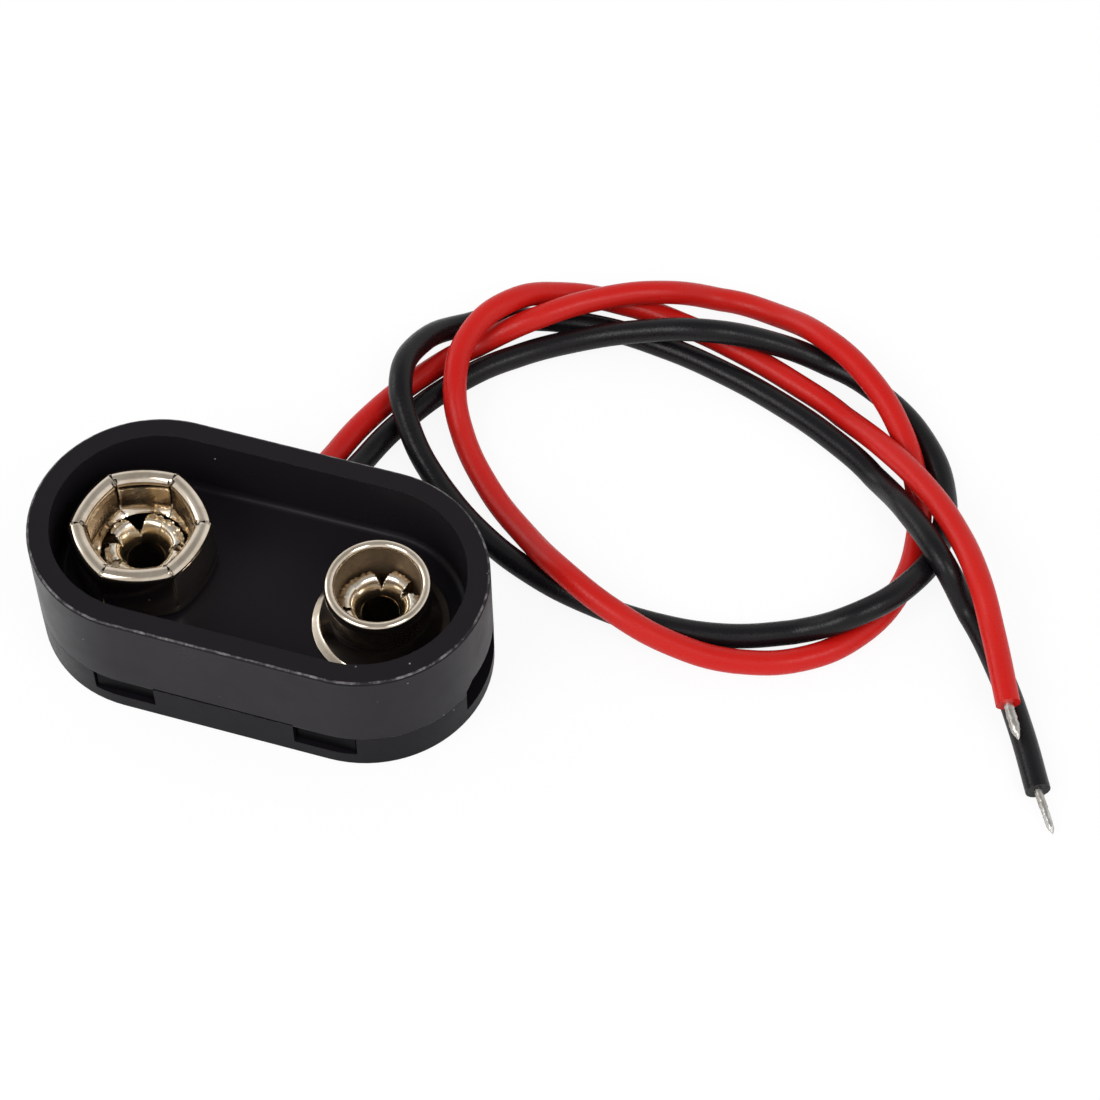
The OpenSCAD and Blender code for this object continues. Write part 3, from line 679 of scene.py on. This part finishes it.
def makeEyelet(name, look, shape):
    low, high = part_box(look["node"])
    middle = Vector(((low[0] + high[0]) / 2, 0, low[2]))
    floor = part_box("socket_snap")[0][2]
    half = shape["sheet"] / 2
    tube = shape["bore"] + half
    splitZ = floor + look["splitHeight"]

    # Lower tube with its flange
    fold = shape["fold"]
    section = [(tube + shape["flangeReach"], low[2] + half), (tube + fold, low[2] + half),
               (tube, low[2] + half + fold), (tube, splitZ)]
    lower = traceProfile(name + "Tube", [around(middle, 0, reach, height) for reach, height in section])
    spinPiece(shape["steps"], math.radians(360), middle)
    bpy.ops.object.mode_set(mode="OBJECT")
    applyModifier(lower, "SOLIDIFY", thickness=shape["sheet"], offset=0)
    smoothPiece(lower, 40)
    dress(lower, [eyeletMetal], look["node"])

    splits = look["splits"]
    for i, (angle, opening) in enumerate(splits):
        nextAngle, nextOpening = splits[(i + 1) % len(splits)]
        width = (nextAngle - angle) % 360
        reachOut = look["reach"] * random.uniform(0.95, 1.05)
        rise = look["crest"] - look["splitHeight"] - half + random.uniform(-0.06, 0.06) * mm
        roll = shape["roll"][:look["ends"][i]]
        strip = [(tube + reachOut * out, splitZ + rise * lift) for out, lift in roll]
        points = [around(middle, angle, reach, height) for reach, height in strip]
        petal = traceProfile(name + "Petal" + str(i + 1), points)
        spinPiece(max(6, round(width / 2.5)), math.radians(width), middle)
        for side, edge, open in ((-1, angle, opening), (1, nextAngle, nextOpening)):
            root = around(middle, edge, shape["splitRoot"], 0)
            flank = math.radians(edge - side * open / 2)
            cutAway(root, Vector((-math.sin(flank), math.cos(flank), 0)) * side)
        tornFrom = tube + 1.05 * reachOut  # the rolled edge beyond this is torn
        selectPoints(petal.data,
                     lambda place: math.hypot(place.x - middle.x, place.y - middle.y) > tornFrom)
        bpy.ops.transform.vertex_random(offset=shape["tear"], uniform=0.3, normal=0.5, seed=7 + i)
        bpy.ops.mesh.vertices_smooth(factor=0.5, repeat=1)
        bpy.ops.object.mode_set(mode="OBJECT")
        outward = around(Vector((0, 0, 0)), angle + width / 2, 1, 0)
        hinge = around(middle, angle + width / 2, tube, splitZ)
        petal.data.transform(Matrix.Translation(hinge)
                             @ Matrix.Rotation(math.radians(look["leans"][i]), 4, up.cross(outward))
                             @ Matrix.Translation(-hinge))
        applyModifier(petal, "SOLIDIFY", thickness=shape["sheet"], offset=0, material_offset_rim=1)
        applyModifier(petal, "BEVEL", width=shape["edge"], segments=1, angle_limit=math.radians(60),
                      material=1)
        smoothPiece(petal, 45)
        dress(petal, [eyeletMetal, tornBrass], look["node"])


for name, look in eyelets.items():
    makeEyelet(name, look, eyeletShape)
print("eyelets modelled")

hiddenPieces = {
    "socket_tag": tagBrass, "stud_tag": tagBrass,
    "socket_solder": solderMetal, "stud_solder": solderMetal,
    "red_core": tinned, "black_core": tinned,
}
for node, material in hiddenPieces.items():
    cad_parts[node].data.materials.clear()
    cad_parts[node].data.materials.append(material)
print("hidden pieces dressed")

# Pale floor, which reaches white in the camera and keeps a faint shadow
floorLook = {"size": 2.0, "colour": "#fbfbfb", "glow": 0.9}


def makeFloor(look):
    material, tree = newMaterial("paleFloor")
    rays = addNode(tree, "ShaderNodeLightPath")
    matt = addNode(tree, "ShaderNodeBsdfDiffuse", {"Color": linear(look["colour"])})
    glow = addNode(tree, "ShaderNodeEmission", {"Color": linear("#ffffff"), "Strength": 1.0})
    share = addNode(tree, "ShaderNodeMath", {"operation": "MULTIPLY", 1: look["glow"]},
                    {0: rays.outputs["Is Camera Ray"]})
    mixed = addNode(tree, "ShaderNodeMixShader",
                    links={0: share.outputs[0], 1: matt.outputs[0], 2: glow.outputs[0]})
    addNode(tree, "ShaderNodeOutputMaterial", links={"Surface": mixed.outputs[0]})
    deselectAll()
    bpy.ops.mesh.primitive_plane_add(size=look["size"], location=(0, 0, -0.01 * mm))
    floor = bpy.context.object
    floor.name = "floor"
    floor.data.materials.append(material)


makeFloor(floorLook)

# World: bright low down, dim overhead, white to the camera. Dims from and to are sines of the height
worldLook = {"horizon": 0.9, "zenith": 0.4, "dimsFrom": 0.62, "dimsTo": 0.86}


def makeWorld(look):
    world = bpy.data.worlds.new("paleStudio")
    world.use_nodes = True
    tree = world.node_tree
    tree.nodes.clear()
    direction = addNode(tree, "ShaderNodeTexCoord")
    height = addNode(tree, "ShaderNodeSeparateXYZ", links={0: direction.outputs["Generated"]})
    level = addNode(tree, "ShaderNodeMapRange",
                    {"From Min": look["dimsFrom"], "From Max": look["dimsTo"],
                     "To Min": look["horizon"], "To Max": look["zenith"]}, {"Value": height.outputs["Z"]})
    soft = addNode(tree, "ShaderNodeBackground", {"Color": linear("#ffffff")}, {"Strength": level.outputs[0]})
    white = addNode(tree, "ShaderNodeBackground", {"Color": linear("#ffffff"), "Strength": 1.0})
    rays = addNode(tree, "ShaderNodeLightPath")
    mixed = addNode(tree, "ShaderNodeMixShader",
                    links={0: rays.outputs["Is Camera Ray"], 1: soft.outputs[0], 2: white.outputs[0]})
    addNode(tree, "ShaderNodeOutputWorld", links={"Surface": mixed.outputs[0]})
    scene.world = world


makeWorld(worldLook)

# Soft boxes: degrees to the right of the camera and above the floor, distance and side in metres, power in
# watts
softBoxes = {
    "leftBox": {"turn": -48, "rise": 48, "distance": 0.42, "side": 0.2, "power": 0.62},
    "rightBox": {"turn": 42, "rise": 52, "distance": 0.42, "side": 0.16, "power": 0.4},
    "sideBox": {"turn": -115, "rise": 22, "distance": 0.42, "side": 0.22, "power": 0.25},
}
for name, box in softBoxes.items():
    light = bpy.data.lights.new(name, "AREA")
    light.shape = "SQUARE"
    light.size = box["side"]
    light.energy = box["power"]
    lamp = bpy.data.objects.new(name, light)
    turn = math.radians(cameraView["azimuth"] + box["turn"])
    rise = math.radians(box["rise"])
    away = Vector((math.sin(turn) * math.cos(rise), -math.cos(turn) * math.cos(rise), math.sin(rise)))
    lamp.matrix_world = (Matrix.Translation(away * box["distance"])
                         @ away.to_track_quat("Z", "Y").to_matrix().to_4x4())
    scene.collection.objects.link(lamp)
print("light set")
